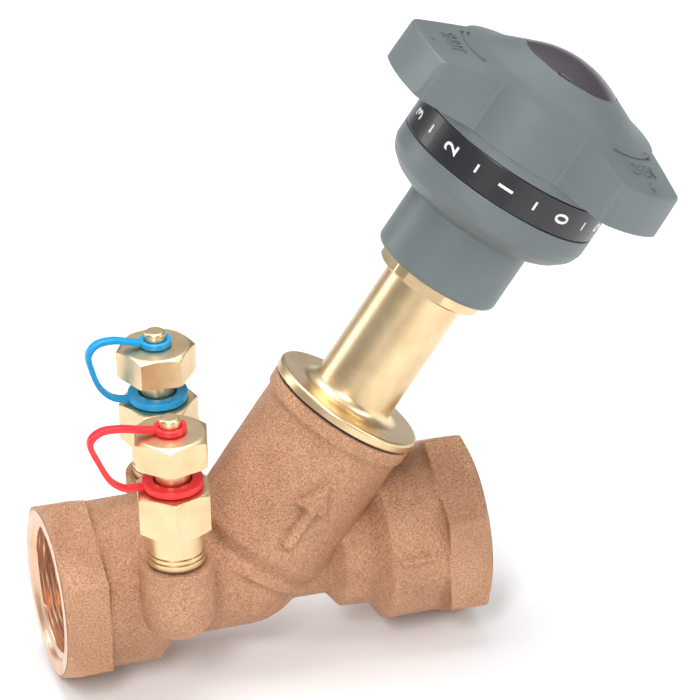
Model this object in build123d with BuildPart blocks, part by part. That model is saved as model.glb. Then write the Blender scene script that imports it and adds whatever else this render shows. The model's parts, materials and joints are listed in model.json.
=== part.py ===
from build123d import *
import os
from math import cos, pi, radians, sin

os.makedirs("parts", exist_ok=True)

# Balancing globe valve with an oblique stem, in millimetres.
# The origin is the centre of the inlet mouth. X is the pipe run, from inlet to outlet, and Z is up.

# ---------------------------------------------------------------- driving sizes
# pipe run
RUN_LENGTH = 107.0
END_FLATS = 42.0
END_CORNER_R = END_FLATS / 2 / cos(pi / 6)
END_LENGTH = 11.0
END_FACE_R = 20.4
END_BEVEL = 1.8
THREAD_R = 16.6
THREAD_DEPTH = 16.5
MOUTH_R = 17.4
MOUTH_DEPTH = 0.8
NECK_R = 20.5
TUBE_R = 16.0
WEB_R = 11.7
INLET_R = 12.0
OUTLET_R = 9.0
OUTLET_WIDE_R = 13.0

# oblique stem: heights along it are measured from the run's centre line
STEM_ANGLE = 54.0
STEM_X = 48.7
BARREL_R = 18.3
BEAD_R = 19.1
BEAD_BOTTOM = 42.0
BARREL_TOP = 46.3
GASKET = 0.6
CHAMBER_R = 14.5
CHAMBER_BOTTOM = 5.0
CHAMBER_TOP = 34.0
BONNET_THREAD_R = 15.3
SEAT_R = 10.0
SEAT_LIP = 2.0
SEAT_TOP = 7.0

# bonnet and gland
FLANGE_R = 19.4
FLANGE_TOP = 49.4
BONNET_BOTTOM = 36.0
TUBE_OUT_R = 10.4
GUIDE_R = 8.0
GUIDE_TOP = 72.0
NUT_BOTTOM = 83.7
SPIGOT_R = 8.6
SPIGOT_TOP = 90.0
BEARING_R = 7.2
BEARING_FLOOR = 86.0
GLAND_FLATS = 25.5
GLAND_CORNER_R = 13.65
GLAND_TOP = 92.0

# spindle and plug
SPINDLE_R = 5.0
SCREW_R = 4.0
SCREW_BOTTOM = 24.0
SCREW_TOP = 66.0
RUNNING_GAP = 0.1
CARRIER_R = 7.9
CARRIER_TOP = 55.0
CARRIER_FLOOR = 13.3
KEY_WIDTH = 2.0
KEY_R = 8.8
DISC_R = 12.6
DISC_BOTTOM = 9.0
DISC_TOP = 11.0
DRIVE_FLATS = 8.0
DRIVE_BOTTOM = 112.0
DRIVE_TOP = 130.0
WHEEL_THREAD_R = 3.5
SPINDLE_TOP = 137.0
ROD_R = 1.5

# scale and handwheel
CUP_R = 16.35
CUP_BOTTOM = 87.0
CUP_RIM_TOP = 115.3
SCALE_R = 26.5
SCALE_BORE_R = 24.75
SCALE_BOTTOM = 115.5
SCALE_TOP = 124.0
WHEEL_BOTTOM = 124.1
GRIP_BOTTOM = 126.7
GRIP_R = 39.4
GRIP_TOP = 137.3
HUB_R = 26.9
HUB_LINER_R = 10.5
CAP_R = 12.7
CAP_EDGE = 146.8
CAP_TOP = 150.0
CAP_FLOOR = 137.0

# pressure test points
RED_AT = (27.7, -20.9)
BLUE_AT = (35.0, 20.9)
BOSS_R = 9.0
BOSS_TOP = 16.2
BOSS_BOTTOM = -5.0
TEST_HOLE_R = 6.6
TEST_FLATS = 17.0
TEST_HEX_BOTTOM = 25.8
TEST_HEX_TOP = 36.6
TEST_NECK_R = 4.2
TEST_NECK_TOP = 49.5
CORE_R = 2.8
CAP_HEX_BOTTOM = 43.7
CAP_HEX_TOP = 51.5
PIN_R = 2.6
PIN_TOP = 55.3
STRAP_WIDTH = 2.2
STRAP_THICK = 1.2

LEAN = radians(STEM_ANGLE)
STEM = Plane(origin=(STEM_X, 0, 0), x_dir=(sin(LEAN), 0, -cos(LEAN)), z_dir=(cos(LEAN), 0, sin(LEAN)))
RUN = Plane(origin=(0, 0, 0), x_dir=(0, 0, 1), z_dir=(1, 0, 0))


# ---------------------------------------------------------------- helpers
def turn(plane, outline, rounds=(), mode=Mode.ADD):
    """Turn an outline of (radius, height) points about the plane's own z axis."""
    section_plane = Plane(origin=plane.origin, x_dir=plane.x_dir, z_dir=-plane.y_dir)
    with BuildSketch(section_plane) as section:
        with BuildLine():
            Polyline(*outline, close=True)
        make_face()
        for corner, radius in rounds:
            fillet(section.vertices().sort_by_distance((*corner, 0))[0], radius)
    revolve(section.sketch, axis=Axis(plane.origin, plane.z_dir), mode=mode)


def ring(plane, inner, outer, bottom, top, mode=Mode.ADD):
    """Plain ring or disc between two heights on the plane's z axis."""
    turn(plane, [(inner, bottom), (outer, bottom), (outer, top), (inner, top)], mode=mode)


def hexagon(plane, flats, bottom, top, rotation=0.0, mode=Mode.ADD):
    """Six-sided prism; rotation 0 puts a corner on the plane's x axis."""
    with BuildSketch(plane.offset(bottom)) as outline:
        RegularPolygon(flats / 2, 6, major_radius=False, rotation=rotation)
    extrude(outline.sketch, amount=top - bottom, mode=mode)


def save(builder, name):
    """Label a finished piece and write its STEP file."""
    builder.part.label = name
    export_step(builder.part, f"parts/{name}.step")


# ---------------------------------------------------------------- valve body
def test_plane(at):
    """Upright axis of a test point."""
    return Plane(origin=(at[0], at[1], 0))


DRILLING_START = Vector(BLUE_AT[0], BLUE_AT[1], 7.0)
DRILLING_END = Vector(52.0, 11.0, 8.0)
DRILLING_AXIS = DRILLING_END - DRILLING_START
DRILLING = Plane(origin=DRILLING_START, z_dir=DRILLING_AXIS)

with BuildPart() as valve_body:
    # wrench hexagons with turned corners
    hexagon(RUN, END_FLATS, 0, END_LENGTH)
    hexagon(RUN, END_FLATS, RUN_LENGTH - END_LENGTH, RUN_LENGTH)
    bevel = [(0, 0), (END_FACE_R, 0), (END_CORNER_R + 0.1, END_BEVEL),
             (END_CORNER_R + 0.1, RUN_LENGTH - END_BEVEL), (END_FACE_R, RUN_LENGTH), (0, RUN_LENGTH)]
    turn(RUN, bevel, mode=Mode.INTERSECT)
    # cast run: inlet neck, tube, thin web under the seat, outlet neck
    run_outline = [(0, END_LENGTH - 1), (NECK_R, END_LENGTH - 1), (NECK_R, 24.5), (TUBE_R, 29.0),
                   (TUBE_R, STEM_X), (15.5, 52.4), (13.9, 56.6), (WEB_R, 59.9), (WEB_R, 68.5),
                   (TUBE_R - 0.5, 71.5), (TUBE_R, 79.0), (NECK_R, 82.0), (NECK_R, 97.0), (0, 97.0)]
    turn(RUN, run_outline,
         rounds=[((TUBE_R, 29.0), 4), ((TUBE_R, STEM_X), 8), ((15.5, 52.4), 8), ((13.9, 56.6), 8)])
    # slanted barrel with a bead at its top
    turn(STEM, [(0, 0), (13.5, 3.0), (16.6, 5.6), (BARREL_R, 9.0), (BARREL_R, BEAD_BOTTOM),
                (BEAD_R, BEAD_BOTTOM + 0.7), (BEAD_R, BARREL_TOP), (0, BARREL_TOP)])
    # bosses for the two test points, and the cast lug around the outlet-side drilling
    for at in (RED_AT, BLUE_AT):
        turn(test_plane(at), [(0, BOSS_BOTTOM), (BOSS_R, BOSS_BOTTOM), (BOSS_R, BOSS_TOP), (0, BOSS_TOP)],
             rounds=[((BOSS_R, BOSS_BOTTOM), BOSS_R - 0.5)])
    ring(DRILLING, 0, 3.8, 2.0, DRILLING_AXIS.length)
    # inlet passage, closed by a rounded end below the seat
    turn(RUN, [(0, -1), (INLET_R, -1), (INLET_R, 46), (8.5, 54.5), (0, 58)],
         rounds=[((INLET_R, 46), 6)], mode=Mode.SUBTRACT)
    # material put back above the inlet passage carries the seat
    ring(STEM, 0, BARREL_R - 1, 2.0, CHAMBER_BOTTOM)
    ring(STEM, SEAT_R, SEAT_R + SEAT_LIP, CHAMBER_BOTTOM, SEAT_TOP)
    # outlet passage from the chamber to the outlet thread
    turn(RUN, [(0, 62), (OUTLET_R, 62), (OUTLET_R, 71), (OUTLET_WIDE_R, 83), (OUTLET_WIDE_R, RUN_LENGTH + 1),
               (0, RUN_LENGTH + 1)], mode=Mode.SUBTRACT)
    # seat bore, chamber and bonnet thread
    turn(STEM, [(SEAT_R + SEAT_LIP, CHAMBER_BOTTOM), (CHAMBER_R, CHAMBER_BOTTOM), (CHAMBER_R, CHAMBER_TOP),
                (BONNET_THREAD_R, CHAMBER_TOP), (BONNET_THREAD_R, BARREL_TOP + 1), (0, BARREL_TOP + 1),
                (0, SEAT_TOP), (SEAT_R + SEAT_LIP, SEAT_TOP)], mode=Mode.SUBTRACT)
    ring(STEM, 0, SEAT_R, -2, SEAT_TOP + 1, mode=Mode.SUBTRACT)
    # pipe threads with countersunk mouths
    for face, inward in ((0.0, 1), (RUN_LENGTH, -1)):
        turn(RUN, [(0, face - inward), (MOUTH_R, face - inward), (MOUTH_R, face),
                   (THREAD_R, face + inward * MOUTH_DEPTH), (THREAD_R, face + inward * THREAD_DEPTH),
                   (0, face + inward * THREAD_DEPTH)], mode=Mode.SUBTRACT)
    # threaded holes and drillings of the test points
    for at in (RED_AT, BLUE_AT):
        ring(test_plane(at), 0, TEST_HOLE_R, 6.0, BOSS_TOP + 1, mode=Mode.SUBTRACT)
        ring(test_plane(at), 0, 1.5, 4.0, 7.0, mode=Mode.SUBTRACT)
    inlet_drilling = Plane(origin=(RED_AT[0], RED_AT[1], 4.8), x_dir=(1, 0, 0), z_dir=(0, 1, 0))
    ring(inlet_drilling, 0, 1.5, 0, 12.0, mode=Mode.SUBTRACT)
    ring(DRILLING, 0, 1.5, 0, DRILLING_AXIS.length, mode=Mode.SUBTRACT)
save(valve_body, "valve_body")

# ---------------------------------------------------------------- bonnet, gasket, gland nut
with BuildPart() as bonnet_gasket:
    ring(STEM, BONNET_THREAD_R, BEAD_R - 0.5, BARREL_TOP, BARREL_TOP + GASKET)
save(bonnet_gasket, "bonnet_gasket")

FLANGE_BOTTOM = BARREL_TOP + GASKET
with BuildPart() as bonnet:
    outline = [(BONNET_THREAD_R - 0.05, BONNET_BOTTOM), (BONNET_THREAD_R - 0.05, FLANGE_BOTTOM),
               (FLANGE_R, FLANGE_BOTTOM), (FLANGE_R, FLANGE_TOP), (TUBE_OUT_R, FLANGE_TOP),
               (TUBE_OUT_R, NUT_BOTTOM), (SPIGOT_R, NUT_BOTTOM), (SPIGOT_R, SPIGOT_TOP),
               (BEARING_R, SPIGOT_TOP), (BEARING_R, BEARING_FLOOR), (SPINDLE_R + RUNNING_GAP, BEARING_FLOOR),
               (SPINDLE_R + RUNNING_GAP, GUIDE_TOP), (GUIDE_R, GUIDE_TOP), (GUIDE_R, BONNET_BOTTOM)]
    turn(STEM, outline, rounds=[((TUBE_OUT_R, FLANGE_TOP), 3.0), ((FLANGE_R, FLANGE_TOP), 0.8),
                                ((FLANGE_R, FLANGE_BOTTOM), 0.4)])
    # keyways that keep the plug carrier from turning
    with BuildSketch(STEM.offset(BONNET_BOTTOM)):
        Rectangle(2 * KEY_R + 0.6, KEY_WIDTH + 0.4)
    extrude(amount=GUIDE_TOP - BONNET_BOTTOM, mode=Mode.SUBTRACT)
save(bonnet, "bonnet")

with BuildPart() as gland_nut:
    # one flat faces the front
    hexagon(STEM, GLAND_FLATS, NUT_BOTTOM, GLAND_TOP, rotation=30.5)
    turn(STEM, [(0, NUT_BOTTOM), (GLAND_CORNER_R - 0.8, NUT_BOTTOM), (GLAND_CORNER_R, NUT_BOTTOM + 0.6),
                (GLAND_CORNER_R, GLAND_TOP), (0, GLAND_TOP)], mode=Mode.INTERSECT)
    ring(STEM, 0, SPIGOT_R, NUT_BOTTOM, SPIGOT_TOP, mode=Mode.SUBTRACT)
    ring(STEM, 0, SPINDLE_R + RUNNING_GAP, SPIGOT_TOP, GLAND_TOP, mode=Mode.SUBTRACT)
save(gland_nut, "gland_nut")

# ---------------------------------------------------------------- spindle and its bearings
COLLAR_BOTTOM = 86.65
COLLAR_TOP = 88.35
RING_HEIGHTS = (76.0, 80.0)
GROOVE_R = 3.9
CORD_R = 0.58

with BuildPart() as spindle:
    hexagon(STEM, DRIVE_FLATS, DRIVE_BOTTOM - 1, DRIVE_TOP, rotation=30)
    turn(STEM, [(0, SCREW_BOTTOM), (SCREW_R, SCREW_BOTTOM), (SCREW_R, SCREW_TOP), (SPINDLE_R, SCREW_TOP),
                (SPINDLE_R, COLLAR_BOTTOM), (BEARING_R - 0.2, COLLAR_BOTTOM), (BEARING_R - 0.2, COLLAR_TOP),
                (SPINDLE_R, COLLAR_TOP), (SPINDLE_R, DRIVE_BOTTOM), (0, DRIVE_BOTTOM)],
         rounds=[((SCREW_R, SCREW_BOTTOM), 0.8)])
    ring(STEM, 0, WHEEL_THREAD_R, DRIVE_TOP - 1, SPINDLE_TOP)
    for height in RING_HEIGHTS:
        ring(STEM, GROOVE_R, SPINDLE_R + 0.5, height - 0.8, height + 0.8, mode=Mode.SUBTRACT)
    ring(STEM, 0, ROD_R + 0.1, SCREW_BOTTOM - 1, SPINDLE_TOP + 1, mode=Mode.SUBTRACT)
save(spindle, "spindle")

with BuildPart() as stem_o_rings:
    for height in RING_HEIGHTS:
        with Locations(STEM.offset(height)):
            Torus(GROOVE_R + 0.02 + CORD_R, CORD_R)
save(stem_o_rings, "stem_o_rings")

with BuildPart() as thrust_washer:
    ring(STEM, SPINDLE_R + RUNNING_GAP, BEARING_R - 0.05, BEARING_FLOOR, COLLAR_BOTTOM - 0.1)
save(thrust_washer, "thrust_washer")

with BuildPart() as stem_bush:
    ring(STEM, SPINDLE_R + RUNNING_GAP, BEARING_R - 0.05, COLLAR_TOP + 0.1, SPIGOT_TOP)
save(stem_bush, "stem_bush")

with BuildPart() as limit_screw:
    ring(STEM, 0, ROD_R, SCREW_BOTTOM - 0.4, SPINDLE_TOP - 0.5)
    with BuildSketch(STEM.offset(SPINDLE_TOP - 1.3)):
        Rectangle(2 * ROD_R + 1, 0.6)
    extrude(amount=1, mode=Mode.SUBTRACT)
save(limit_screw, "limit_screw")

# ---------------------------------------------------------------- plug
CLOSED_GAP = 0.05
PLUG_SCREW_R = 2.0
RETAINER_R = 9.4
RETAINER_BOTTOM = 5.6
SCREW_HEAD_BOTTOM = 3.4

with BuildPart() as plug_carrier:
    ring(STEM, 0, CARRIER_R, DISC_TOP, CARRIER_TOP)
    with BuildSketch(STEM.offset(CARRIER_TOP - 12)):
        Rectangle(2 * KEY_R, KEY_WIDTH)
    extrude(amount=12)
    ring(STEM, 0, SCREW_R + RUNNING_GAP, CARRIER_FLOOR, CARRIER_TOP + 1, mode=Mode.SUBTRACT)
    ring(STEM, 0, PLUG_SCREW_R, DISC_TOP - 1, CARRIER_FLOOR - 0.4, mode=Mode.SUBTRACT)
save(plug_carrier, "plug_carrier")

with BuildPart() as plug_disc:
    turn(STEM, [(PLUG_SCREW_R, SEAT_TOP), (RETAINER_R - 0.4, SEAT_TOP), (RETAINER_R - 0.4, DISC_BOTTOM),
                (DISC_R, DISC_BOTTOM), (DISC_R, DISC_TOP), (PLUG_SCREW_R, DISC_TOP)],
         rounds=[((DISC_R, DISC_TOP), 0.8)])
save(plug_disc, "plug_disc")

with BuildPart() as seat_seal:
    ring(STEM, RETAINER_R - 0.4, DISC_R - 0.2, SEAT_TOP + CLOSED_GAP, DISC_BOTTOM)
save(seat_seal, "seat_seal")

with BuildPart() as seal_retainer:
    turn(STEM, [(PLUG_SCREW_R, RETAINER_BOTTOM), (RETAINER_R - 0.8, RETAINER_BOTTOM), (RETAINER_R, SEAT_TOP),
                (PLUG_SCREW_R, SEAT_TOP)])
save(seal_retainer, "seal_retainer")

with BuildPart() as retainer_screw:
    hexagon(STEM, 7.0, SCREW_HEAD_BOTTOM, RETAINER_BOTTOM)
    ring(STEM, 0, PLUG_SCREW_R, RETAINER_BOTTOM, CARRIER_FLOOR - 0.5)
save(retainer_screw, "retainer_screw")

# ---------------------------------------------------------------- scale housing and scale ring
with BuildPart() as scale_housing:
    outline = [(14.2, CUP_BOTTOM), (CUP_R, CUP_BOTTOM), (CUP_R, 103.4), (19.6, 104.3), (22.6, 105.8),
               (25.5, 108.4), (SCALE_R, 111.0), (SCALE_R, CUP_RIM_TOP), (25.2, CUP_RIM_TOP), (25.2, 111.6),
               (24.0, 109.8), (21.4, 107.4), (18.8, 106.2), (14.2, 105.4), (14.2, 94.0), (5.3, 94.0),
               (5.3, GLAND_TOP), (14.2, GLAND_TOP)]
    turn(STEM, outline, rounds=[((CUP_R, CUP_BOTTOM), 1.6), ((25.5, 108.4), 4.0), ((22.6, 105.8), 4.0),
                                ((SCALE_R, 111.0), 3.0)])
save(scale_housing, "scale_housing")

with BuildPart() as scale_ring:
    turn(STEM, [(SCALE_BORE_R, SCALE_BOTTOM), (SCALE_R, SCALE_BOTTOM), (SCALE_R, SCALE_TOP),
                (SCALE_BORE_R, SCALE_TOP)],
         rounds=[((SCALE_R, SCALE_BOTTOM), 0.3), ((SCALE_R, SCALE_TOP), 0.3)])
save(scale_ring, "scale_ring")

# ---------------------------------------------------------------- handwheel
GRIP_WALL = 2.4
GRIP_ROOT_HALF = 19.35
GRIP_END_HALF = 11.6
POCKET_TOP = 134.6
GRIPS = [60, 180, 300]
REGISTER_R = SCALE_BORE_R - 0.05


def grip_plan(shrink):
    """One grip seen along the stem, pointing along +X, its sides drawn in by shrink."""
    Polygon((0, -GRIP_ROOT_HALF + shrink), (GRIP_R + 2, -GRIP_END_HALF + shrink),
            (GRIP_R + 2, GRIP_END_HALF - shrink), (0, GRIP_ROOT_HALF - shrink), align=None)


with BuildPart() as handwheel:
    with BuildSketch(STEM.offset(GRIP_BOTTOM)) as plan:
        with PolarLocations(0, 1, start_angle=GRIPS[0]):
            Circle(HUB_R)
        with PolarLocations(0, 3, start_angle=GRIPS[0]):
            grip_plan(0)
        with PolarLocations(0, 1, start_angle=GRIPS[0]):
            Circle(GRIP_R, mode=Mode.INTERSECT)
        fillet(plan.vertices().group_by(SortBy.DISTANCE)[-1], 3.5)
        fillet(plan.vertices().group_by(SortBy.DISTANCE)[0], 2.0)
    extrude(amount=CAP_TOP - GRIP_BOTTOM)
    # domed top
    turn(STEM, [(0, GRIP_BOTTOM), (GRIP_R, GRIP_BOTTOM), (GRIP_R - 0.6, GRIP_TOP), (27.7, 140.6),
                (22.0, 142.2), (CAP_R, CAP_EDGE), (0, CAP_EDGE)],
         rounds=[((GRIP_R - 0.6, GRIP_TOP), 1.2), ((27.7, 140.6), 12.0), ((22.0, 142.2), 12.0)],
         mode=Mode.INTERSECT)
    # hollow grips, each with a rib down its middle
    with BuildSketch(STEM.offset(GRIP_BOTTOM)):
        with PolarLocations(0, 3, start_angle=GRIPS[0]):
            grip_plan(GRIP_WALL)
        Circle(GRIP_R - GRIP_WALL, mode=Mode.INTERSECT)
        Circle(HUB_R - 1.5, mode=Mode.SUBTRACT)
        with PolarLocations(0, 3, start_angle=GRIPS[0]):
            Rectangle(GRIP_R, 1.6, align=(Align.MIN, Align.CENTER), mode=Mode.SUBTRACT)
    extrude(amount=POCKET_TOP - GRIP_BOTTOM, mode=Mode.SUBTRACT)
    # skirt over the scale, register inside the scale, liner around the insert
    ring(STEM, 0, HUB_R - 0.3, WHEEL_BOTTOM, GRIP_BOTTOM + 1)
    ring(STEM, 0, REGISTER_R, 113.0, WHEEL_BOTTOM)
    ring(STEM, HUB_LINER_R, REGISTER_R - 1.9, 113.0, POCKET_TOP, mode=Mode.SUBTRACT)
    ring(STEM, 0, HUB_LINER_R, DRIVE_BOTTOM, WHEEL_BOTTOM)
    ring(STEM, 0, 8.0, DRIVE_BOTTOM - 1, DRIVE_TOP, mode=Mode.SUBTRACT)
    ring(STEM, 0, 8.6, DRIVE_TOP, CAP_FLOOR, mode=Mode.SUBTRACT)
    ring(STEM, 0, CAP_R + 0.05, CAP_FLOOR, CAP_EDGE + 1, mode=Mode.SUBTRACT)
save(handwheel, "handwheel")

with BuildPart() as wheel_insert:
    ring(STEM, 0, 8.0, DRIVE_BOTTOM, DRIVE_TOP)
    hexagon(STEM, DRIVE_FLATS + 0.05, DRIVE_BOTTOM, DRIVE_TOP, rotation=30, mode=Mode.SUBTRACT)
save(wheel_insert, "wheel_insert")

with BuildPart() as wheel_washer:
    ring(STEM, WHEEL_THREAD_R + 0.1, 7.5, DRIVE_TOP, DRIVE_TOP + 1)
save(wheel_washer, "wheel_washer")

with BuildPart() as wheel_nut:
    hexagon(STEM, 12.0, DRIVE_TOP + 1, DRIVE_TOP + 5)
    turn(STEM, [(0, DRIVE_TOP + 1), (7, DRIVE_TOP + 1), (7, DRIVE_TOP + 4.6), (6.2, DRIVE_TOP + 5),
                (0, DRIVE_TOP + 5)], mode=Mode.INTERSECT)
    ring(STEM, 0, WHEEL_THREAD_R, DRIVE_TOP, DRIVE_TOP + 6, mode=Mode.SUBTRACT)
save(wheel_nut, "wheel_nut")

CAP_RISE = CAP_TOP - CAP_EDGE
CAP_DOME_R = (CAP_R ** 2 + CAP_RISE ** 2) / (2 * CAP_RISE)
with BuildPart() as wheel_cap:
    # domed disc with a clip skirt, notched at the front for a screwdriver
    with Locations(STEM.offset(CAP_TOP - CAP_DOME_R)):
        Sphere(CAP_DOME_R)
    turn(STEM, [(0, CAP_EDGE - 2.2), (CAP_R, CAP_EDGE - 2.2), (CAP_R, CAP_TOP), (0, CAP_TOP)],
         mode=Mode.INTERSECT)
    ring(STEM, 10.2, 12.0, CAP_FLOOR + 0.4, CAP_EDGE - 2.2)
    with BuildSketch(STEM.offset(CAP_EDGE - 1.4)):
        with PolarLocations(CAP_R, 1, start_angle=-122):
            Rectangle(2.4, 3.2)
    extrude(amount=CAP_RISE + 1.4, mode=Mode.SUBTRACT)
save(wheel_cap, "wheel_cap")


# ---------------------------------------------------------------- pressure test points
def make_test_body(at, corner):
    """Brass body: shank in the boss, ringed collar, hexagon, and the neck that takes the cap."""
    axis = test_plane(at)
    with BuildPart() as body:
        hexagon(axis, TEST_FLATS, TEST_HEX_BOTTOM, TEST_HEX_TOP, rotation=corner)
        turn(axis, [(0, TEST_HEX_BOTTOM), (8.3, TEST_HEX_BOTTOM), (9.9, TEST_HEX_BOTTOM + 0.9),
                    (9.9, TEST_HEX_TOP - 0.9), (8.3, TEST_HEX_TOP), (0, TEST_HEX_TOP)], mode=Mode.INTERSECT)
        turn(axis, [(0, 7.0), (TEST_HOLE_R - 0.05, 7.0), (TEST_HOLE_R - 0.05, BOSS_TOP + 0.5),
                    (7.05, BOSS_TOP + 0.5), (7.05, TEST_HEX_BOTTOM), (0, TEST_HEX_BOTTOM)])
        for height in (18.0, 19.4):
            ring(axis, 6.5, 7.5, height, height + 0.5, mode=Mode.SUBTRACT)
        turn(axis, [(0, TEST_HEX_TOP), (TEST_NECK_R, TEST_HEX_TOP), (TEST_NECK_R, TEST_NECK_TOP),
                    (0, TEST_NECK_TOP)], rounds=[((TEST_NECK_R, TEST_NECK_TOP), 0.5)])
        ring(axis, 0, CORE_R, 42.0, TEST_NECK_TOP + 1, mode=Mode.SUBTRACT)
        ring(axis, 0, 1.2, 6.0, 43.0, mode=Mode.SUBTRACT)
    return body


def make_test_core(at):
    """Self-closing rubber core that a measuring needle pierces."""
    with BuildPart() as core:
        ring(test_plane(at), 0, CORE_R, 42.0, TEST_NECK_TOP - 0.3)
    return core


def make_test_seal(at):
    """Flat seal between boss and test body."""
    with BuildPart() as seal:
        ring(test_plane(at), TEST_HOLE_R - 0.05, 7.0, BOSS_TOP, BOSS_TOP + 0.5)
    return seal


def make_cap(at, corner):
    """Screw cap: hexagon with a pin on top that the strap's eye clips over."""
    axis = test_plane(at)
    with BuildPart() as cap:
        hexagon(axis, TEST_FLATS, CAP_HEX_BOTTOM, CAP_HEX_TOP, rotation=corner)
        turn(axis, [(0, CAP_HEX_BOTTOM), (9.4, CAP_HEX_BOTTOM), (9.9, CAP_HEX_BOTTOM + 0.4),
                    (9.9, CAP_HEX_TOP - 1.1), (7.8, CAP_HEX_TOP), (0, CAP_HEX_TOP)], mode=Mode.INTERSECT)
        turn(axis, [(0, CAP_HEX_TOP), (PIN_R, CAP_HEX_TOP), (PIN_R, PIN_TOP), (0, PIN_TOP)],
             rounds=[((PIN_R, PIN_TOP), 0.8)])
        ring(axis, 0, TEST_NECK_R + 0.3, CAP_HEX_BOTTOM - 1, 50.3, mode=Mode.SUBTRACT)
    return cap


def make_cap_seal(at):
    """Rubber disc in the cap's roof."""
    with BuildPart() as seal:
        ring(test_plane(at), 0, TEST_NECK_R + 0.2, TEST_NECK_TOP + 0.2, 50.3)
    return seal


def make_strap(at, route):
    """Strap: a loose ring round the neck, a looped band, and an eye on the cap's pin."""
    axis = test_plane(at)
    band_plane = Plane(origin=(at[0], at[1], 0), x_dir=(1, 0, 0), z_dir=(0, -1, 0))
    with BuildPart() as strap:
        ring(axis, TEST_NECK_R + 0.4, 7.4, TEST_HEX_TOP + 0.2, TEST_HEX_TOP + 2.2)
        ring(axis, PIN_R + 0.1, PIN_R + 1.35, CAP_HEX_TOP + 0.1, 53.2)
        with BuildSketch(band_plane):
            with BuildLine():
                FilletPolyline(*route, radius=1.4)
            trace(line_width=STRAP_THICK)
        extrude(amount=STRAP_WIDTH / 2, both=True)
    return strap


RED_ROUTE = [(-3.2, 52.4), (-12.4, 54.5), (-17.2, 54.4), (-19.8, 51.4), (-17.6, 45.4), (-15.2, 40.4),
             (-12.0, 38.0), (-6.0, 37.9)]
BLUE_ROUTE = [(-3.2, 52.4), (-10.5, 54.6), (-14.8, 54.2), (-16.9, 51.6), (-16.2, 47.5), (-14.8, 42.8),
              (-12.6, 39.7), (-9.8, 38.1), (-6.0, 37.9)]

for colour, at, body_corner, cap_corner, route in (("red", RED_AT, -101.5, -105.5, RED_ROUTE),
                                                   ("blue", BLUE_AT, -126.0, -126.0, BLUE_ROUTE)):
    save(make_test_body(at, body_corner), f"{colour}_test_body")
    save(make_test_core(at), f"{colour}_test_core")
    save(make_test_seal(at), f"{colour}_test_seal")
    save(make_cap(at, cap_corner), f"{colour}_cap")
    save(make_cap_seal(at), f"{colour}_cap_seal")
    save(make_strap(at, route), f"{colour}_strap")
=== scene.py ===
import json
import math

import bmesh
import bpy
import numpy as np
from mathutils import Matrix, Vector


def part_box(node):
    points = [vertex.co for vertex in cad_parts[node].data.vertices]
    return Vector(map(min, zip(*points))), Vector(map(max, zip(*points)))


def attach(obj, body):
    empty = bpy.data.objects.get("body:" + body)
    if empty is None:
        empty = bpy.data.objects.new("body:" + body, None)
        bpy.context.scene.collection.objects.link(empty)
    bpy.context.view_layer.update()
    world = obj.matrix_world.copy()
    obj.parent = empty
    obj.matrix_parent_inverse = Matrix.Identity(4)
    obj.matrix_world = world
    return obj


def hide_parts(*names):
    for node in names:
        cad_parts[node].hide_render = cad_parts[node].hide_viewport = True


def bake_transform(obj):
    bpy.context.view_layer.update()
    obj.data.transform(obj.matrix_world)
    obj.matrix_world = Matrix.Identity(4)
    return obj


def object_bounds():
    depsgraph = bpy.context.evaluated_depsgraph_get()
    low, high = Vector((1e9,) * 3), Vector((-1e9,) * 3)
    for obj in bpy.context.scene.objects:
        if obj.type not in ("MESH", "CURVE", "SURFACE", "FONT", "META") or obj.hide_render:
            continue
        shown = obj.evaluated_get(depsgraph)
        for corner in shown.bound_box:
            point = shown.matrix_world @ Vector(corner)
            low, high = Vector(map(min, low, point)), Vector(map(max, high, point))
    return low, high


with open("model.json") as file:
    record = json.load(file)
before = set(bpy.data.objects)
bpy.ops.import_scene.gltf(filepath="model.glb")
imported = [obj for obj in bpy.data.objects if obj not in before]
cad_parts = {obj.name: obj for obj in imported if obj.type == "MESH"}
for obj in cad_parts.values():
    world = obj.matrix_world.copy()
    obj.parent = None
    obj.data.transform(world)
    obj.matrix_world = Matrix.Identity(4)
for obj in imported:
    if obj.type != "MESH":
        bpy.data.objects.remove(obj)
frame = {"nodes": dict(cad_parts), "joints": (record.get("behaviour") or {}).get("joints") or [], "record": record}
cad_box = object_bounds()

MM = 0.001
JOINTS = {joint["name"]: joint for joint in frame["joints"]}

# stem frame, from the joint that turns the handwheel
STEM_AXIS = Vector(JOINTS["wheel_turn"]["axis"]).normalized()
STEM_ORIGIN = Vector(JOINTS["wheel_turn"]["pos_m"])
STEM_SIDE = Vector((0, 1, 0))
STEM_DOWN = STEM_SIDE.cross(STEM_AXIS)
FRONT_ANGLE = math.radians(-119.5)      # the side of the stem that the camera sees


def stem_matrix(angle, radius, height):
    """Frame on the stem: x across the surface, y along the stem, z outwards, at an angle about the stem."""
    outward = STEM_DOWN * math.cos(angle) + STEM_SIDE * math.sin(angle)
    across = STEM_AXIS.cross(outward)
    place = STEM_ORIGIN + outward * radius + STEM_AXIS * height
    return Matrix.Translation(place) @ Matrix((across, STEM_AXIS, outward)).transposed().to_4x4()


def node_points(node):
    """Points of a CAD node, one row each, in the row frame."""
    mesh = frame["nodes"][node].data
    points = np.empty(len(mesh.vertices) * 3)
    mesh.vertices.foreach_get("co", points)
    return points.reshape(-1, 3)


def stem_span(node):
    """Lowest and highest height along the stem and the largest radius about it."""
    offset = node_points(node) - np.array(STEM_ORIGIN)
    height = offset @ np.array(STEM_AXIS)
    radius = np.linalg.norm(offset - height[:, None] * np.array(STEM_AXIS), axis=1)
    return height.min(), height.max(), radius.max()


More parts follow.
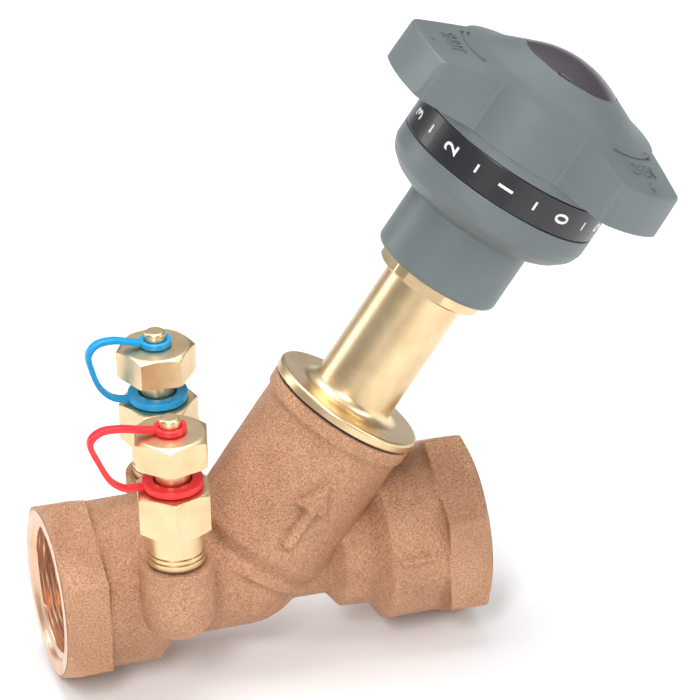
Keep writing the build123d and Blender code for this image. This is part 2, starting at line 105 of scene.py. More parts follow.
# ------------------------------------------------------------------ materials
class Nodes:
    """A principled material with a few helpers for procedural detail."""

    def __init__(self, name, color, roughness, metallic=0.0, coat=0.0, specular=0.5):
        self.material = bpy.data.materials.new(name)
        self.material.use_nodes = True
        self.tree = self.material.node_tree
        self.shader = self.tree.nodes["Principled BSDF"]
        self.shader.inputs["Base Color"].default_value = (*color, 1)
        self.shader.inputs["Roughness"].default_value = roughness
        self.shader.inputs["Metallic"].default_value = metallic
        self.shader.inputs["Coat Weight"].default_value = coat
        self.shader.inputs["Specular IOR Level"].default_value = specular
        self.coordinates = self.tree.nodes.new("ShaderNodeTexCoord").outputs["Object"]

    def link(self, source, target):
        self.tree.links.new(source, target)

    def turned(self, axis, stretch):
        """Coordinates turned so that z runs along the axis, stretched to draw rings round it."""
        mapping = self.tree.nodes.new("ShaderNodeMapping")
        turn = Vector(axis).rotation_difference(Vector((0, 0, 1))).to_euler()
        mapping.inputs["Rotation"].default_value = turn
        self.link(self.coordinates, mapping.inputs["Vector"])
        scale = self.tree.nodes.new("ShaderNodeMapping")
        scale.inputs["Scale"].default_value = stretch
        self.link(mapping.outputs["Vector"], scale.inputs["Vector"])
        return scale.outputs["Vector"]

    def noise(self, scale, detail=3.0, vector=None, rough=0.55):
        node = self.tree.nodes.new("ShaderNodeTexNoise")
        node.inputs["Scale"].default_value = scale
        node.inputs["Detail"].default_value = detail
        node.inputs["Roughness"].default_value = rough
        self.link(vector or self.coordinates, node.inputs["Vector"])
        return node.outputs["Fac"]

    def attribute(self, name):
        node = self.tree.nodes.new("ShaderNodeAttribute")
        node.attribute_name = name
        return node.outputs["Fac"]

    def ramp(self, factor, stops):
        node = self.tree.nodes.new("ShaderNodeValToRGB")
        elements = node.color_ramp.elements
        while len(elements) < len(stops):
            elements.new(0.5)
        for element, (position, color) in zip(elements, stops):
            element.position = position
            element.color = (*color, 1)
        self.link(factor, node.inputs["Fac"])
        return node.outputs["Color"]

    def mix(self, factor, first, second, blend="MIX"):
        node = self.tree.nodes.new("ShaderNodeMix")
        node.data_type = "RGBA"
        node.blend_type = blend
        if isinstance(factor, float):
            node.inputs[0].default_value = factor
        else:
            self.link(factor, node.inputs[0])
        self.link(first, node.inputs[6])
        self.link(second, node.inputs[7])
        return node.outputs[2]

    def roughness(self, factor, low, high):
        node = self.tree.nodes.new("ShaderNodeMapRange")
        node.inputs["To Min"].default_value = low
        node.inputs["To Max"].default_value = high
        self.link(factor, node.inputs["Value"])
        self.link(node.outputs["Result"], self.shader.inputs["Roughness"])

    def bump(self, height, distance, strength=1.0, under=None):
        node = self.tree.nodes.new("ShaderNodeBump")
        node.inputs["Distance"].default_value = distance
        node.inputs["Strength"].default_value = strength
        self.link(height, node.inputs["Height"])
        if under is not None:
            self.link(under, node.inputs["Normal"])
        self.link(node.outputs["Normal"], self.shader.inputs["Normal"])
        return node.outputs["Normal"]

    def color(self, source):
        self.link(source, self.shader.inputs["Base Color"])


def cast_bronze():
    """Sand-cast bronze: grainy skin, with painted shade darkening the hollows and lighter worn edges."""
    n = Nodes("cast_bronze", (0.6, 0.3, 0.17), 0.5, metallic=0.72)
    patches = n.noise(55, 4)
    grain = n.noise(2100, 4, rough=0.6)
    skin = n.ramp(patches, [(0.3, (0.60, 0.335, 0.195)), (0.7, (0.76, 0.45, 0.28))])
    speckle = n.ramp(grain, [(0.36, (0.50, 0.42, 0.37)), (0.60, (1.0, 1.0, 1.0))])
    skin = n.mix(0.8, skin, speckle, "MULTIPLY")
    # painted shade: the hollows are multiplied darker to stand for shade, and the outer edges are lighter for wear
    wear_and_shade_stops = [(0.25, (0.34, 0.29, 0.26)), (0.5, (1, 1, 1)), (0.85, (1.3, 1.3, 1.28))]
    wear_and_shade = n.ramp(n.attribute("wear_and_shade"), wear_and_shade_stops)
    n.color(n.mix(1.0, skin, wear_and_shade, "MULTIPLY"))
    n.roughness(grain, 0.38, 0.62)
    lumps = n.bump(n.noise(260, 3), 0.0007, 0.35)
    n.bump(grain, 0.0007, 0.9, lumps)
    return n.material


def machined_bronze():
    """Turned bronze at the ends and in the threads."""
    n = Nodes("machined_bronze", (0.80, 0.52, 0.36), 0.3, metallic=0.9)
    rings = n.noise(1.0, 2, n.turned((1, 0, 0), (60, 60, 5200)))
    patches = n.noise(140, 3)
    n.color(n.ramp(patches, [(0.3, (0.70, 0.43, 0.28)), (0.7, (0.86, 0.60, 0.44))]))
    n.roughness(rings, 0.24, 0.42)
    n.bump(rings, 0.00006, 0.5)
    return n.material


def brass(name, axis, fine=4200.0):
    """Turned brass with fine rings across the axis."""
    n = Nodes(name, (0.82, 0.62, 0.37), 0.3, metallic=1.0)
    rings = n.noise(1.0, 3, n.turned(axis, (90, 90, fine)))
    smudge = n.noise(160, 3)
    n.color(n.ramp(smudge, [(0.3, (0.74, 0.54, 0.30)), (0.72, (0.86, 0.67, 0.42))]))
    n.roughness(rings, 0.27, 0.42)
    n.bump(rings, 0.000018, 0.35, n.bump(smudge, 0.00006, 0.25))
    return n.material


def plastic(name, color, roughness, grain=2600.0, depth=0.00004, coat=0.0):
    """Moulded plastic with a fine spark-eroded texture and faint flow marks."""
    n = Nodes(name, color, roughness, coat=coat)
    flow = n.noise(90, 3)
    fine = n.noise(grain, 2)
    dark = tuple(channel * 0.96 for channel in color)
    light = tuple(min(1.0, channel * 1.04) for channel in color)
    skin = n.ramp(flow, [(0.35, dark), (0.65, light)])
    # painted shade: the same attribute darkens hollows to stand for shade and lightens worn edges
    wear_and_shade_stops = [(0.3, (0.7, 0.7, 0.7)), (0.5, (1, 1, 1)), (0.9, (1.35, 1.35, 1.35))]
    worn_and_shaded = n.ramp(n.attribute("wear_and_shade"), wear_and_shade_stops)
    n.color(n.mix(1.0, skin, worn_and_shaded, "MULTIPLY"))
    n.roughness(fine, roughness - 0.06, roughness + 0.08)
    n.bump(fine, depth, 0.6)
    return n.material


def steel():
    """Ground steel of the screws and washers."""
    n = Nodes("steel", (0.6, 0.6, 0.62), 0.3, metallic=1.0)
    n.roughness(n.noise(900, 3), 0.22, 0.4)
    n.bump(n.noise(1800, 2), 0.00003, 0.4)
    return n.material


STEM = tuple(STEM_AXIS)
UP = (0, 0, 1)
MATERIALS = {
    "cast_bronze": cast_bronze(),
    "machined_bronze": machined_bronze(),
    "stem_brass": brass("stem_brass", STEM),
    "fitting_brass": brass("fitting_brass", UP, 2600.0),
    "grey_plastic": plastic("grey_plastic", (0.128, 0.150, 0.152), 0.42),
    "black_plastic": plastic("black_plastic", (0.022, 0.021, 0.026), 0.34, coat=0.15),
    "cap_plastic": plastic("cap_plastic", (0.050, 0.042, 0.048), 0.30, coat=0.2),
    "red_plastic": plastic("red_plastic", (0.78, 0.020, 0.028), 0.32, grain=1500.0, coat=0.1),
    "blue_plastic": plastic("blue_plastic", (0.0, 0.30, 0.62), 0.32, grain=1500.0, coat=0.1),
    "seal_fibre": plastic("seal_fibre", (0.26, 0.13, 0.07), 0.6),
    "rubber": plastic("rubber", (0.02, 0.02, 0.02), 0.7),
    "white_print": plastic("white_print", (0.80, 0.80, 0.80), 0.5),
    "steel": steel(),
}


def paint(obj, name):
    """Give an object one of the materials above."""
    obj.data.materials.clear()
    obj.data.materials.append(MATERIALS[name])


# ------------------------------------------------------------------ mesh helpers
def new_object(name, mesh, body, look):
    """A visible piece that rides on a body."""
    obj = bpy.data.objects.new(name, mesh)
    bpy.context.scene.collection.objects.link(obj)
    paint(obj, look)
    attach(obj, body)
    return obj


def add_wear(mesh, gain, passes):
    """Point attribute: 0.5 on flat skin, above on outer edges for wear, below in hollows for painted shade."""
    count = len(mesh.vertices)
    points = np.empty(count * 3)
    mesh.vertices.foreach_get("co", points)
    points = points.reshape(-1, 3)
    normals = np.empty(count * 3)
    mesh.vertices.foreach_get("normal", normals)
    normals = normals.reshape(-1, 3)
    edges = np.empty(len(mesh.edges) * 2, dtype=int)
    mesh.edges.foreach_get("vertices", edges)
    a, b = edges.reshape(-1, 2).T
    degree = np.maximum(np.bincount(a, minlength=count) + np.bincount(b, minlength=count), 1)

    def neighbours(values):
        total = np.zeros_like(values)
        np.add.at(total, a, values[b])
        np.add.at(total, b, values[a])
        return total / (degree[:, None] if values.ndim == 2 else degree)

    bulge = -np.einsum("ij,ij->i", neighbours(points) - points, normals)
    for _ in range(passes):
        bulge = 0.4 * bulge + 0.6 * neighbours(bulge)
    # below 0.5 the materials paint shade into the hollows, above 0.5 they lighten worn edges
    wear_and_shade = np.clip(0.5 + bulge * gain, 0, 1)
    layer = mesh.attributes.new("wear_and_shade", "FLOAT", "POINT")
    layer.data.foreach_set("value", wear_and_shade.astype(np.float32))


def flat_wear(mesh):
    """The same attribute, with no wear and no painted shade anywhere."""
    layer = mesh.attributes.new("wear_and_shade", "FLOAT", "POINT")
    layer.data.foreach_set("value", np.full(len(mesh.vertices), 0.5, dtype=np.float32))


def body_of(node):
    """Name of the body that a CAD node is on."""
    return next(name for name, nodes in frame["record"]["behaviour"]["bodies"].items() if node in nodes)


SHARP_EDGE = math.radians(32)
KEPT_CREASE = math.radians(38)


def softened(node, look, width):
    """Copy of a CAD node with its sharp edges rounded over, which stands for the node."""
    mesh = frame["nodes"][node].data.copy()
    bm = bmesh.new()
    bm.from_mesh(mesh)
    bmesh.ops.remove_doubles(bm, verts=bm.verts, dist=2e-6)
    bmesh.ops.dissolve_limit(bm, angle_limit=math.radians(0.5), verts=bm.verts, edges=bm.edges)
    sharp = [e for e in bm.edges if len(e.link_faces) == 2 and e.calc_face_angle(0) > SHARP_EDGE]
    bmesh.ops.bevel(bm, geom=sharp, offset=width, segments=2, profile=0.5, affect="EDGES",
                    clamp_overlap=True, loop_slide=True, harden_normals=False)
    bmesh.ops.remove_doubles(bm, verts=bm.verts, dist=1e-6)
    mesh = bpy.data.meshes.new(node + "_look")
    bm.to_mesh(mesh)
    bm.free()
    mesh.shade_smooth()
    mesh.set_sharp_from_angle(angle=KEPT_CREASE)
    flat_wear(mesh)
    obj = new_object(node + "_look", mesh, body_of(node), look)
    even = obj.modifiers.new("even_shading", "WEIGHTED_NORMAL")
    even.keep_sharp = True
    even.weight = 90
    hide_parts(node)


def wrapped(mesh, radius, height, angle):
    """Bend a flat mesh (x across, y along the stem, z outwards) round the stem."""
    for vertex in mesh.vertices:
        x, y, z = vertex.co
        vertex.co = stem_matrix(angle + x / radius, radius + z, height + y).translation


def text_mesh(text, size, depth, thin=0.0, spacing=1.0):
    """Letters as a closed mesh, centred on the origin, size high."""
    curve = bpy.data.curves.new("letters", "FONT")
    curve.body = text
    curve.size = size * 1.38
    curve.extrude = depth / 2
    curve.offset = thin
    curve.space_character = spacing
    curve.align_x = "CENTER"
    curve.resolution_u = 6
    holder = bpy.data.objects.new("letters", curve)
    bpy.context.scene.collection.objects.link(holder)
    bpy.context.view_layer.update()
    mesh = bpy.data.meshes.new_from_object(holder.evaluated_get(bpy.context.evaluated_depsgraph_get()))
    bpy.data.objects.remove(holder)
    heights = [v.co.y for v in mesh.vertices]
    mesh.transform(Matrix.Translation((0, -(min(heights) + max(heights)) / 2, 0)))
    return mesh


def cut_finer(mesh, spacing, steps):
    """Slice a mesh across x so that it can be bent."""
    bm = bmesh.new()
    bm.from_mesh(mesh)
    for i in range(-steps, steps + 1):
        geometry = bm.verts[:] + bm.edges[:] + bm.faces[:]
        bmesh.ops.bisect_plane(bm, geom=geometry, plane_co=(i * spacing, 0, 0), plane_no=(1, 0, 0))
    bm.to_mesh(mesh)
    bm.free()


def prism_mesh(outlines, depth):
    """Closed flat solids from outlines in x and y, half their depth each side of z = 0."""
    bm = bmesh.new()
    for outline in outlines:
        low = [bm.verts.new((x, y, -depth / 2)) for x, y in outline]
        high = [bm.verts.new((x, y, depth / 2)) for x, y in outline]
        bm.faces.new(list(reversed(low)))
        bm.faces.new(high)
        for i in range(len(outline)):
            j = (i + 1) % len(outline)
            bm.faces.new((low[i], low[j], high[j], high[i]))
    bmesh.ops.recalc_face_normals(bm, faces=bm.faces)
    mesh = bpy.data.meshes.new("prism")
    bm.to_mesh(mesh)
    bm.free()
    return mesh


# ------------------------------------------------------------------ cast body
VOXEL = 0.5 * MM
# raised casting marks, in mm: a plain flow arrow on the barrel and a bar on the outlet neck
ARROW = ((-9.5, -1.3), (1.5, -1.3), (1.5, -4.4), (9.5, 0.0), (1.5, 4.4), (1.5, 1.3), (-9.5, 1.3))
ARROW_HEIGHT = 23.5 * MM
ARROW_TURN = math.radians(24)
BAR = ((-4.5, -0.6), (4.5, -0.6), (4.5, 0.6), (-4.5, 0.6))
BAR_X = 88.5 * MM
BAR_ANGLE = math.radians(10)            # above the horizontal, on the front of the run
MARK_RISE = 1.2 * MM
MARK_EDGE = 0.5 * MM


def raised_mark(x, y, outline):
    """1 inside the outline, falling to 0 just outside it."""
    corners = np.array(outline) * MM
    inside = np.zeros(len(x), dtype=bool)
    nearest = np.full(len(x), 1.0)
    for (x1, y1), (x2, y2) in zip(corners, np.roll(corners, -1, axis=0)):
        crosses = (y1 > y) != (y2 > y)
        meets = x1 + (y - y1) / (y2 - y1 if y2 != y1 else 1e-12) * (x2 - x1)
        inside ^= crosses & (x < meets)
        side_x, side_y = x2 - x1, y2 - y1
        along = np.clip(((x - x1) * side_x + (y - y1) * side_y) / (side_x ** 2 + side_y ** 2), 0, 1)
        nearest = np.minimum(nearest, np.hypot(x - x1 - along * side_x, y - y1 - along * side_y))
    signed = np.where(inside, nearest, -nearest)
    step = np.clip(signed / MARK_EDGE + 0.5, 0, 1)
    return step * step * (3 - 2 * step)


def mark_rise(points):
    """How far each point of the body stands out for the casting marks."""
    offset = points - np.array(STEM_ORIGIN)
    height = offset @ np.array(STEM_AXIS)
    down, side = offset @ np.array(STEM_DOWN), offset @ np.array(STEM_SIDE)
    radius = np.hypot(down, side)
    turn = np.arctan2(side, down) - (FRONT_ANGLE + ARROW_TURN)
    arrow = raised_mark(height - ARROW_HEIGHT, turn * radius, ARROW)
    arrow *= (radius > 17 * MM) & (radius < 20 * MM) & (np.abs(turn) < 1)
    around = np.arctan2(points[:, 2], -points[:, 1]) - BAR_ANGLE
    reach = np.hypot(points[:, 1], points[:, 2])
    bar = raised_mark(points[:, 0] - BAR_X, around * reach, BAR) * (reach > 19 * MM)
    return MARK_RISE * np.maximum(arrow, bar)


END_ZONE = 2.2 * MM         # the relaxing fades out this near to a machined end
END_INSET = 0.12 * MM       # keeps the cast skin behind the machined faces
RELAX_WEIGHTS = (0.55, -0.40) * 4
BEAD_ZONE = 8 * MM
BEAD_SHARE = 0.6            # the bead at the barrel's top is relaxed less, to stay crisp
RIPPLE = 0.06 * MM
WEAR_AND_SHADE_GAIN = 0.72 / VOXEL


def cast_body():
    """The body with its casting radii: the CAD solid remeshed and relaxed away from the machined ends."""
    source = frame["nodes"]["valve_body"]
    mesh = source.data.copy()
    obj = bpy.data.objects.new("cast_body", mesh)
    bpy.context.scene.collection.objects.link(obj)
    remesh = obj.modifiers.new("skin", "REMESH")
    remesh.mode = "VOXEL"
    remesh.voxel_size = VOXEL
    remesh.use_smooth_shade = True
    graph = bpy.context.evaluated_depsgraph_get()
    skin = bpy.data.meshes.new_from_object(obj.evaluated_get(graph))
    obj.modifiers.clear()
    obj.data = skin
    count = len(skin.vertices)
    points = np.empty(count * 3)
    skin.vertices.foreach_get("co", points)
    points = points.reshape(-1, 3)
    edges = np.empty(len(skin.edges) * 2, dtype=int)
    skin.edges.foreach_get("vertices", edges)
    a, b = edges.reshape(-1, 2).T
    degree = (np.bincount(a, minlength=count) + np.bincount(b, minlength=count))[:, None]
    low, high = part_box("valve_body")
    from_end = np.minimum(points[:, 0] - low[0], high[0] - points[:, 0])
    offset = points - np.array(STEM_ORIGIN)
    height = offset @ np.array(STEM_AXIS)
    top = stem_span("valve_body")[1]
    free = np.clip((from_end - 0.4 * MM) / END_ZONE, 0, 1) * np.clip((top - height) / END_ZONE, 0, 1)
    free = np.where(height > top - BEAD_ZONE, free * BEAD_SHARE, free)[:, None]
    for weight in RELAX_WEIGHTS:
        total = np.zeros_like(points)
        np.add.at(total, a, points[b])
        np.add.at(total, b, points[a])
        points = points + weight * free * (total / degree - points)
    ripple = np.sin(points[:, 0] * 310 + points[:, 2] * 170) * np.sin(points[:, 1] * 270 + points[:, 2] * 210)
    normals = np.empty(count * 3)
    skin.vertices.foreach_get("normal", normals)
    normals = normals.reshape(-1, 3)
    points += normals * (ripple[:, None] - 1) * free * RIPPLE
    points += normals * mark_rise(points)[:, None]
    inset = END_INSET * np.clip(1 - from_end / (0.5 * MM), 0, 1)
    points[:, 0] += np.where(points[:, 0] < 0.5 * (low[0] + high[0]), inset, -inset)
    points = np.clip(points, np.array(low), np.array(high))
    skin.vertices.foreach_set("co", points.ravel())
    skin.update()
    # wear on the outer edges and painted shade in the hollows, as one attribute
    add_wear(skin, WEAR_AND_SHADE_GAIN, passes=6)
    paint(obj, "cast_bronze")
    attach(obj, "valve")
    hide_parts("valve_body")


cast_body()

# pipe threads: one inch, eleven turns to the inch, in both mouths
THREAD_PITCH = 25.4 / 11 * MM
THREAD_DEPTH = 1.45 * MM
THREAD_STEPS = 96
THREAD_ROWS = 10            # rows to each turn
COUNTERSINK = 0.9 * MM


def thread_insert(mount, name):
    """Face ring, countersink and helical thread of one mouth, as the tool leaves them."""
    facing = Vector(mount["axis"])
    radius = mount["dims"]["r_mm"] * MM - 0.05 * MM
    low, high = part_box("valve_body")
    face = low[0] if facing.x < 0 else high[0]
    length = mount["dims"]["length_mm"] * MM
    profile = [(20.3 * MM, 0.05 * MM), (20.3 * MM, 0.0), (17.5 * MM, 0.0), (17.3 * MM, 0.1 * MM),
               (radius, COUNTERSINK)]
    rows = int((length - COUNTERSINK) / (THREAD_PITCH / THREAD_ROWS))
    bm = bmesh.new()
    grid = []
    for step in range(THREAD_STEPS):
        angle = 2 * math.pi * step / THREAD_STEPS
        column = list(profile)
        for row in range(1, rows):
            depth = COUNTERSINK + row * THREAD_PITCH / THREAD_ROWS
            phase = (depth / THREAD_PITCH - facing.x * step / THREAD_STEPS) % 1.0
            ridge = min(1.0, max(0.0, 1.6 - abs(phase - 0.5) * 4.2))
            fade = min(1.0, (depth - COUNTERSINK) / (0.8 * MM))
            column.append((radius - THREAD_DEPTH * ridge * fade, depth))
        column.append((radius, length))
        grid.append([bm.verts.new((face - facing.x * depth, r * math.cos(angle), r * math.sin(angle)))
                     for r, depth in column])
    for i in range(THREAD_STEPS):
        first, second = grid[i], grid[(i + 1) % THREAD_STEPS]
        for row in range(len(first) - 1):
            bm.faces.new((first[row], second[row], second[row + 1], first[row + 1]))
    bmesh.ops.recalc_face_normals(bm, faces=bm.faces)
    probe = min(bm.faces, key=lambda f: abs(f.calc_center_median().x - face))
    if probe.normal.dot(facing) < 0:
        bmesh.ops.reverse_faces(bm, faces=bm.faces)
    mesh = bpy.data.meshes.new(name)
    bm.to_mesh(mesh)
    bm.free()
    mesh.shade_smooth()
    mesh.set_sharp_from_angle(angle=math.radians(40))
    new_object(name, mesh, "valve", "machined_bronze")


for mount in frame["record"]["mounts"]:
    thread_insert(mount, mount["name"] + "_cut")

# ------------------------------------------------------------------ metal and plastic nodes
ROUNDED = {"handwheel": ("grey_plastic", 0.55), "scale_housing": ("grey_plastic", 0.25),
           "wheel_cap": ("cap_plastic", 0.25), "bonnet": ("stem_brass", 0.25),
           "gland_nut": ("stem_brass", 0.3)}
for colour in ("red", "blue"):
    ROUNDED[colour + "_test_body"] = ("fitting_brass", 0.22)
    ROUNDED[colour + "_cap"] = ("fitting_brass", 0.22)
for node, (look, width) in ROUNDED.items():
    softened(node, look, width * MM)

PLAIN = {"scale_ring": "black_plastic", "bonnet_gasket": "rubber", "thrust_washer": "steel",
         "stem_bush": "stem_brass", "wheel_insert": "stem_brass", "wheel_washer": "steel",
         "wheel_nut": "steel", "spindle": "stem_brass", "stem_o_rings": "rubber",
         "limit_screw": "steel", "plug_carrier": "stem_brass", "plug_disc": "stem_brass",
         "seat_seal": "rubber", "seal_retainer": "stem_brass", "retainer_screw": "steel"}
for colour in ("red", "blue"):
    PLAIN[colour + "_test_seal"] = "seal_fibre"
    for part in ("test_core", "cap_seal"):
        PLAIN[f"{colour}_{part}"] = "rubber"
for node, look in PLAIN.items():
    paint(frame["nodes"][node], look)

# ------------------------------------------------------------------ scale
ring_low, ring_high, ring_radius = stem_span("scale_ring")
DIGIT_STEP = math.radians(36)
DIGIT_ZERO = math.radians(-78)
DIGIT_SIZE = 4.0 * MM
PRINT_DEPTH = 0.05 * MM
TICK = ((-0.28, -1.1), (0.28, -1.1), (0.28, 1.1), (-0.28, 1.1))
PRINT_HEIGHT = 0.5 * ring_low + 0.5 * ring_high + 0.2 * MM


def ring_print(mesh, name, angle):
    """A printed mark bent onto the scale ring."""
    cut_finer(mesh, 0.7 * MM, 4)
    wrapped(mesh, ring_radius, PRINT_HEIGHT, angle)
    flat_wear(mesh)
    new_object(name, mesh, "wheel", "white_print")


for digit in range(10):
    letters = text_mesh(str(digit), DIGIT_SIZE, PRINT_DEPTH, thin=0.08 * MM)
    letters.transform(Matrix.Rotation(math.radians(90), 4, "Z"))
    ring_print(letters, f"scale_digit_{digit}", DIGIT_ZERO - DIGIT_STEP * digit)
    dash = prism_mesh([[(x * MM, y * MM) for x, y in TICK]], PRINT_DEPTH)
    ring_print(dash, f"scale_tick_{digit}", DIGIT_ZERO - DIGIT_STEP * (digit + 0.5))

# ------------------------------------------------------------------ raised marks on the wheel
# radius about the stem and height along it, in mm, at the inner and outer end of a grip's sloping top
SLOPE_POINTS = ((27.7, 140.6), (38.8, 137.3))


def grip_surface(angle, radius):
    """Place on a grip's top, with x across the grip, y towards the hub and z off the surface."""
    outward = STEM_DOWN * math.cos(angle) + STEM_SIDE * math.sin(angle)
    (r1, h1), (r2, h2) = SLOPE_POINTS
    slope = (h2 - h1) / (r2 - r1)
    height = (h1 + slope * (radius / MM - r1)) * MM
    inward = (-outward - STEM_AXIS * slope).normalized()
    across = inward.cross((STEM_AXIS + outward * slope).normalized())
    off = across.cross(inward)
    place = STEM_ORIGIN + outward * radius + STEM_AXIS * height
    return Matrix.Translation(place) @ Matrix((across, inward, off)).transposed().to_4x4()


ARC_STEPS = 14


def arc_mesh(radius, span, width, depth, arrow):
    """Curved bar with an arrow head at its right end (arrow = 1) or its left end (arrow = -1)."""
    wide, narrow = radius + width / 2, radius - width / 2
    outer, inner = [], []
    for i in range(ARC_STEPS + 1):
        angle = math.radians(-span / 2 + span * i / ARC_STEPS)
        outer.append((wide * math.sin(angle), -wide * math.cos(angle) + radius))
        inner.append((narrow * math.sin(angle), -narrow * math.cos(angle) + radius))
    end = math.radians(arrow * span / 2)
    tip = (radius * math.sin(end) + arrow * width * 2.6, -radius * math.cos(end) + radius + width * 0.3)
    base = (radius * math.sin(end), -radius * math.cos(end) + radius)
    head = [(base[0], base[1] - width * 1.5), tip, (base[0], base[1] + width * 1.5)][::arrow]
    return prism_mesh([outer + inner[::-1], head], depth)


def wheel_mark(mesh, name, angle, radius):
    """A raised mark moulded on top of a grip."""
    mesh.transform(grip_surface(angle, radius))
    flat_wear(mesh)
    new_object(name, mesh, "wheel", "grey_plastic")


MARK_DEPTH = 0.7 * MM
for word, sign, degrees, arrow in (("SHUT", "-", 180, -1), ("OPEN", "+", -60, 1)):
    angle = math.radians(degrees)
    label = word.lower()
    wheel_mark(text_mesh(word, 3.6 * MM, MARK_DEPTH, spacing=1.05), label + "_word", angle, 31.0 * MM)
    wheel_mark(text_mesh(sign, 4.2 * MM, MARK_DEPTH), label + "_sign", angle, 36.2 * MM)
    wheel_mark(arc_mesh(27.0 * MM, 40, 0.8 * MM, MARK_DEPTH, arrow), label + "_arrow", angle, 27.2 * MM)

# ------------------------------------------------------------------ test point straps
def catmull(points, steps):
    """Smooth curve through the points."""
    ends = [points[0] * 2 - points[1]] + points + [points[-1] * 2 - points[-2]]
    curve = []
    for i in range(1, len(ends) - 2):
        p0, p1, p2, p3 = ends[i - 1:i + 3]
        for k in range(steps):
            t = k / steps
            curve.append(0.5 * ((2 * p1) + (p2 - p0) * t + (2 * p0 - 5 * p1 + 4 * p2 - p3) * t * t
                                + (3 * p1 - p0 - 3 * p2 + p3) * t ** 3))
    curve.append(ends[-2])
    return curve


def band_section(width, thick, corner=0.32):
    """Rounded oblong, width along y."""
    points = []
    for cx, cy, start in ((1, 1, 0), (-1, 1, 90), (-1, -1, 180), (1, -1, 270)):
        for step in range(4):
            turn = math.radians(start + 30 * step)
            points.append(((cx * (thick / 2 - corner * MM)) + corner * MM * math.cos(turn),
                           (cy * (width / 2 - corner * MM)) + corner * MM * math.sin(turn)))
    return points


RING_STEPS = 72


def add_ring(bm, centre, inner, outer, low, high):
    """Flat ring with rounded edges."""
    r = min(0.35 * MM, (high - low) / 2.2)
    profile = []
    for rad, z, start in ((outer - r, high - r, 0), (inner + r, high - r, 90),
                          (inner + r, low + r, 180), (outer - r, low + r, 270)):
        for step in range(4):
            turn = math.radians(start + 30 * step)
            profile.append((rad + r * math.cos(turn), z + r * math.sin(turn)))
    grid = []
    for i in range(RING_STEPS):
        angle = 2 * math.pi * i / RING_STEPS
        grid.append([bm.verts.new((centre[0] + rad * math.cos(angle), centre[1] + rad * math.sin(angle), z))
                     for rad, z in profile])
    for i in range(RING_STEPS):
        a, b = grid[i], grid[(i + 1) % RING_STEPS]
        for k in range(len(profile)):
            m = (k + 1) % len(profile)
            bm.faces.new((a[k], b[k], b[m], a[m]))


# the band's middle line beside the test point: x from its axis and z in the row frame, in mm, eye first
ROUTES = {
    "red": [(-3.3, 52.5), (-7.5, 53.3), (-12.4, 54.4), (-17.0, 54.3), (-19.6, 51.6),
            (-17.7, 46.0), (-15.2, 40.9), (-12.0, 38.2), (-9.0, 37.8), (-6.2, 37.8)],
    "blue": [(-3.3, 52.5), (-6.8, 53.5), (-10.6, 54.5), (-14.6, 54.1), (-16.8, 51.4),
             (-16.2, 47.4), (-14.8, 43.0), (-12.6, 39.9), (-9.8, 38.2), (-6.2, 37.8)],
}


def strap(colour):
    """Band with its two rings, one moulding: a low ring at the test point's base and an eye at the cap's top."""
    joint = JOINTS[colour + "_cap_turn"]
    centre = Vector((joint["pos_m"][0], joint["pos_m"][1], 0))
    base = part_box(colour + "_strap")[0][2]
    bm = bmesh.new()
    add_ring(bm, centre, 4.6 * MM, 7.4 * MM, base, base + 2.0 * MM)
    cap_top = joint["pos_m"][2] + 3.9 * MM
    add_ring(bm, centre, 2.7 * MM, 3.95 * MM, cap_top + 0.1 * MM, cap_top + 1.7 * MM)
    route = [centre + Vector((x * MM, 0, z * MM)) for x, z in ROUTES[colour]]
    line = catmull(route, 8)
    grid = []
    for i, point in enumerate(line):
        ahead = (line[min(i + 1, len(line) - 1)] - line[max(i - 1, 0)]).normalized()
        across = Vector((0, 1, 0))
        off = ahead.cross(across)
        middle = 1 - abs(i / (len(line) - 1) * 2 - 1)
        section = band_section(2.3 * MM, (1.15 + 0.25 * math.sin(middle * math.pi / 2)) * MM)
        grid.append([bm.verts.new(point + off * x + across * y) for x, y in section])
    for first, second in zip(grid, grid[1:]):
        for k in range(len(first)):
            m = (k + 1) % len(first)
            bm.faces.new((first[k], first[m], second[m], second[k]))
    bm.faces.new(grid[0][::-1])
    bm.faces.new(grid[-1])
    bmesh.ops.recalc_face_normals(bm, faces=bm.faces)
    mesh = bpy.data.meshes.new(colour + "_band")
    bm.to_mesh(mesh)
    bm.free()
    mesh.shade_smooth()
    flat_wear(mesh)
    obj = bpy.data.objects.new(colour + "_band", mesh)
    bpy.context.scene.collection.objects.link(obj)
    paint(obj, colour + "_plastic")
    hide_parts(colour + "_strap")
    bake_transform(obj)


for colour in ("red", "blue"):
    strap(colour)

# ------------------------------------------------------------------ floor, light, camera
FLOOR_HALF = 3.0


def floor():
    """Pale ground under the valve."""
    low = cad_box[0][2]
    size = FLOOR_HALF
    mesh = bpy.data.meshes.new("floor")
    mesh.from_pydata([(-size, -size, low), (size, -size, low), (size, size, low), (-size, size, low)], [],
                     [(0, 1, 2, 3)])
    obj = bpy.data.objects.new("floor", mesh)
    bpy.context.scene.collection.objects.link(obj)
    n = Nodes("pale_floor", (0.86, 0.86, 0.86), 0.8, specular=0.1)
    n.color(n.ramp(n.noise(6, 2), [(0.3, (0.84, 0.84, 0.84)), (0.7, (0.88, 0.88, 0.88))]))
    obj.data.materials.append(n.material)


def area_light(name, location, target, size, energy):
    """Rectangular light that faces its target."""
    light = bpy.data.lights.new(name, "AREA")
    light.shape = "RECTANGLE"
    light.size, light.size_y = size
    light.energy = energy
    obj = bpy.data.objects.new(name, light)
    bpy.context.scene.collection.objects.link(obj)
    obj.location = location
    obj.rotation_euler = (Vector(target) - Vector(location)).to_track_quat("-Z", "Y").to_euler()


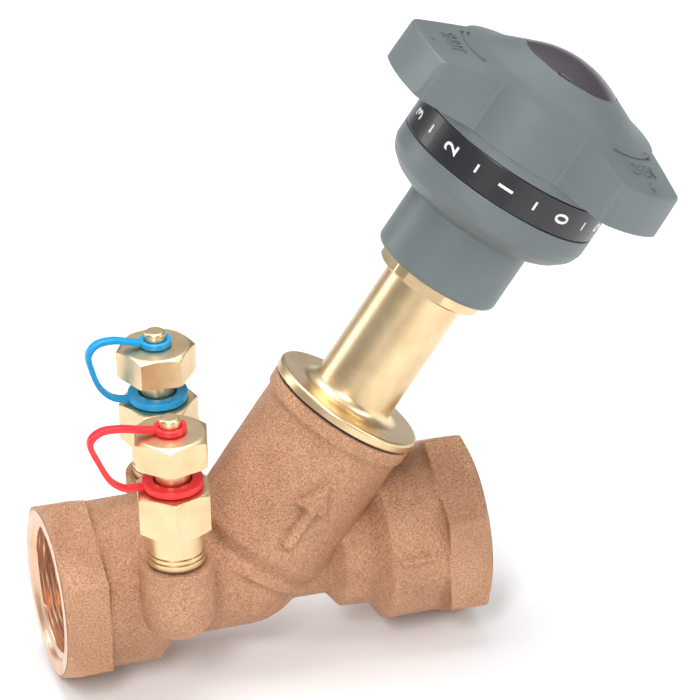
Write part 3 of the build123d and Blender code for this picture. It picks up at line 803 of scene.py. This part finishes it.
CENTRE = Vector(0.5 * (np.array(cad_box[0]) + np.array(cad_box[1])))
floor()
area_light("key", (-0.42, -0.95, 0.85), CENTRE, (0.28, 0.6), 11)
area_light("fill", (0.95, -0.65, 0.55), CENTRE, (0.22, 0.8), 4.5)
area_light("top", (0.1, 0.25, 1.2), CENTRE, (0.9, 0.9), 11)
area_light("back", (-0.9, 0.7, 0.6), CENTRE, (0.3, 0.9), 4)

world = bpy.data.worlds.new("studio")
bpy.context.scene.world = world
world.use_nodes = True
sky = world.node_tree.nodes
sky_links = world.node_tree.links
direction = sky.new("ShaderNodeTexCoord")
split = sky.new("ShaderNodeSeparateXYZ")
gradient = sky.new("ShaderNodeValToRGB")
gradient.color_ramp.elements[0].position = 0.0
gradient.color_ramp.elements[0].color = (0.10, 0.10, 0.11, 1)
gradient.color_ramp.elements[1].position = 0.75
gradient.color_ramp.elements[1].color = (0.95, 0.97, 1.0, 1)
sky_links.new(direction.outputs["Generated"], split.inputs["Vector"])
sky_links.new(split.outputs["Z"], gradient.inputs["Fac"])
sky_links.new(gradient.outputs["Color"], sky["Background"].inputs["Color"])
sky["Background"].inputs["Strength"].default_value = 0.62

AZIMUTH = math.radians(-15.48)
ELEVATION = math.radians(29.25)
ROLL = math.radians(1.79)
DISTANCE = 1.412
FOCAL_RATIO = 5860 / 700
SENSOR = 36.0
AIM = Vector((0.0781, 0.0, 0.0531))


def camera():
    """Long lens, above and to the left of the front."""
    right = Vector((math.cos(AZIMUTH), math.sin(AZIMUTH), 0))
    back = Vector((math.sin(AZIMUTH) * math.cos(ELEVATION), -math.cos(AZIMUTH) * math.cos(ELEVATION),
                   math.sin(ELEVATION)))
    up = back.cross(right)
    rolled_right = right * math.cos(ROLL) - up * math.sin(ROLL)
    rolled_up = up * math.cos(ROLL) + right * math.sin(ROLL)
    data = bpy.data.cameras.new("camera")
    data.sensor_width = SENSOR
    data.lens = SENSOR * FOCAL_RATIO
    data.clip_end = 20
    obj = bpy.data.objects.new("camera", data)
    bpy.context.scene.collection.objects.link(obj)
    turn = Matrix((rolled_right, rolled_up, back)).transposed().to_4x4()
    obj.matrix_world = Matrix.Translation(AIM + back * DISTANCE) @ turn
    bpy.context.scene.camera = obj


camera()
bpy.context.scene.view_settings.view_transform = "Standard"
